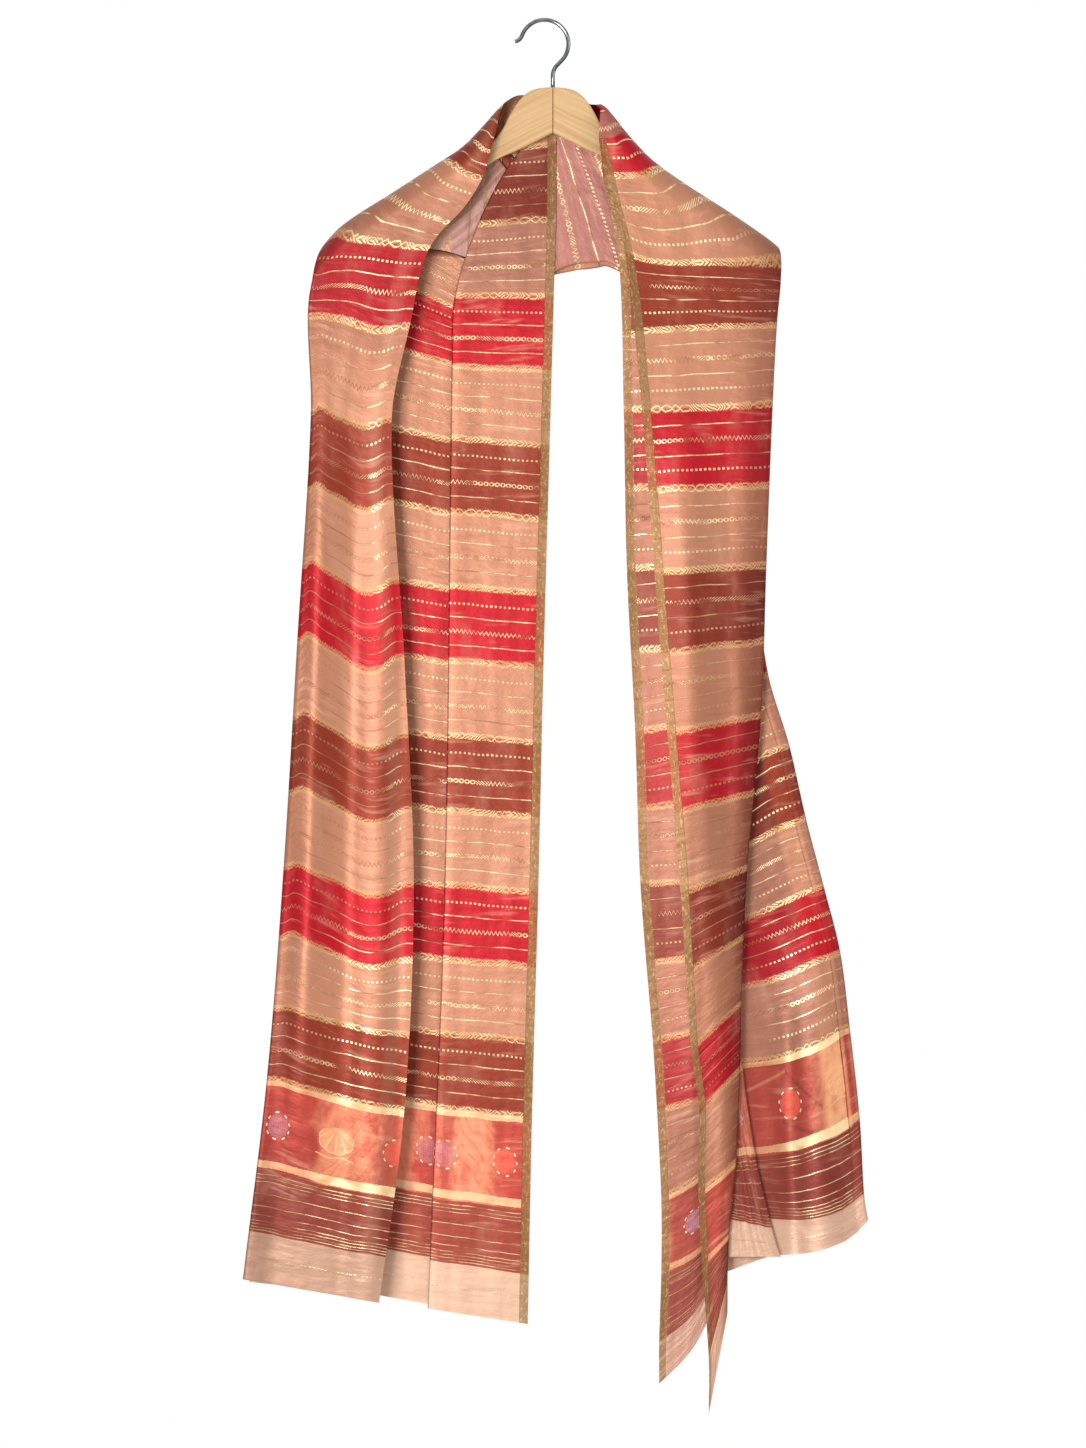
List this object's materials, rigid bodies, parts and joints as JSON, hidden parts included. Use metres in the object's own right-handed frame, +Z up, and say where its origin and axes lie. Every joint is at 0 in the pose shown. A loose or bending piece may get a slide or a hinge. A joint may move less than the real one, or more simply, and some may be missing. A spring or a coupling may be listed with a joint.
{
  "type": "striped silk dupatta on a wooden clothes hanger",
  "caption": "Long striped silk scarf with metallic woven bands, pleated lengthwise and draped over a flat wooden clothes hanger with a wire hook.",
  "frame": {"origin": "inner top of the hook, where it sits on a rail", "axes": "+Z up, +X to the right as seen from the front, -Y towards the viewer"},
  "size_m": [0.599, 0.0581, 1.338],
  "materials": {
    "silk": "satin",
    "wood": "gloss lacquer",
    "wire": "polished"
  },
  "bodies": {
    "root": {"dupatta": "silk", "hanger_arm_left": "wood", "hanger_arm_right": "wood", "hook": "wire"}
  },
  "joints": []
}
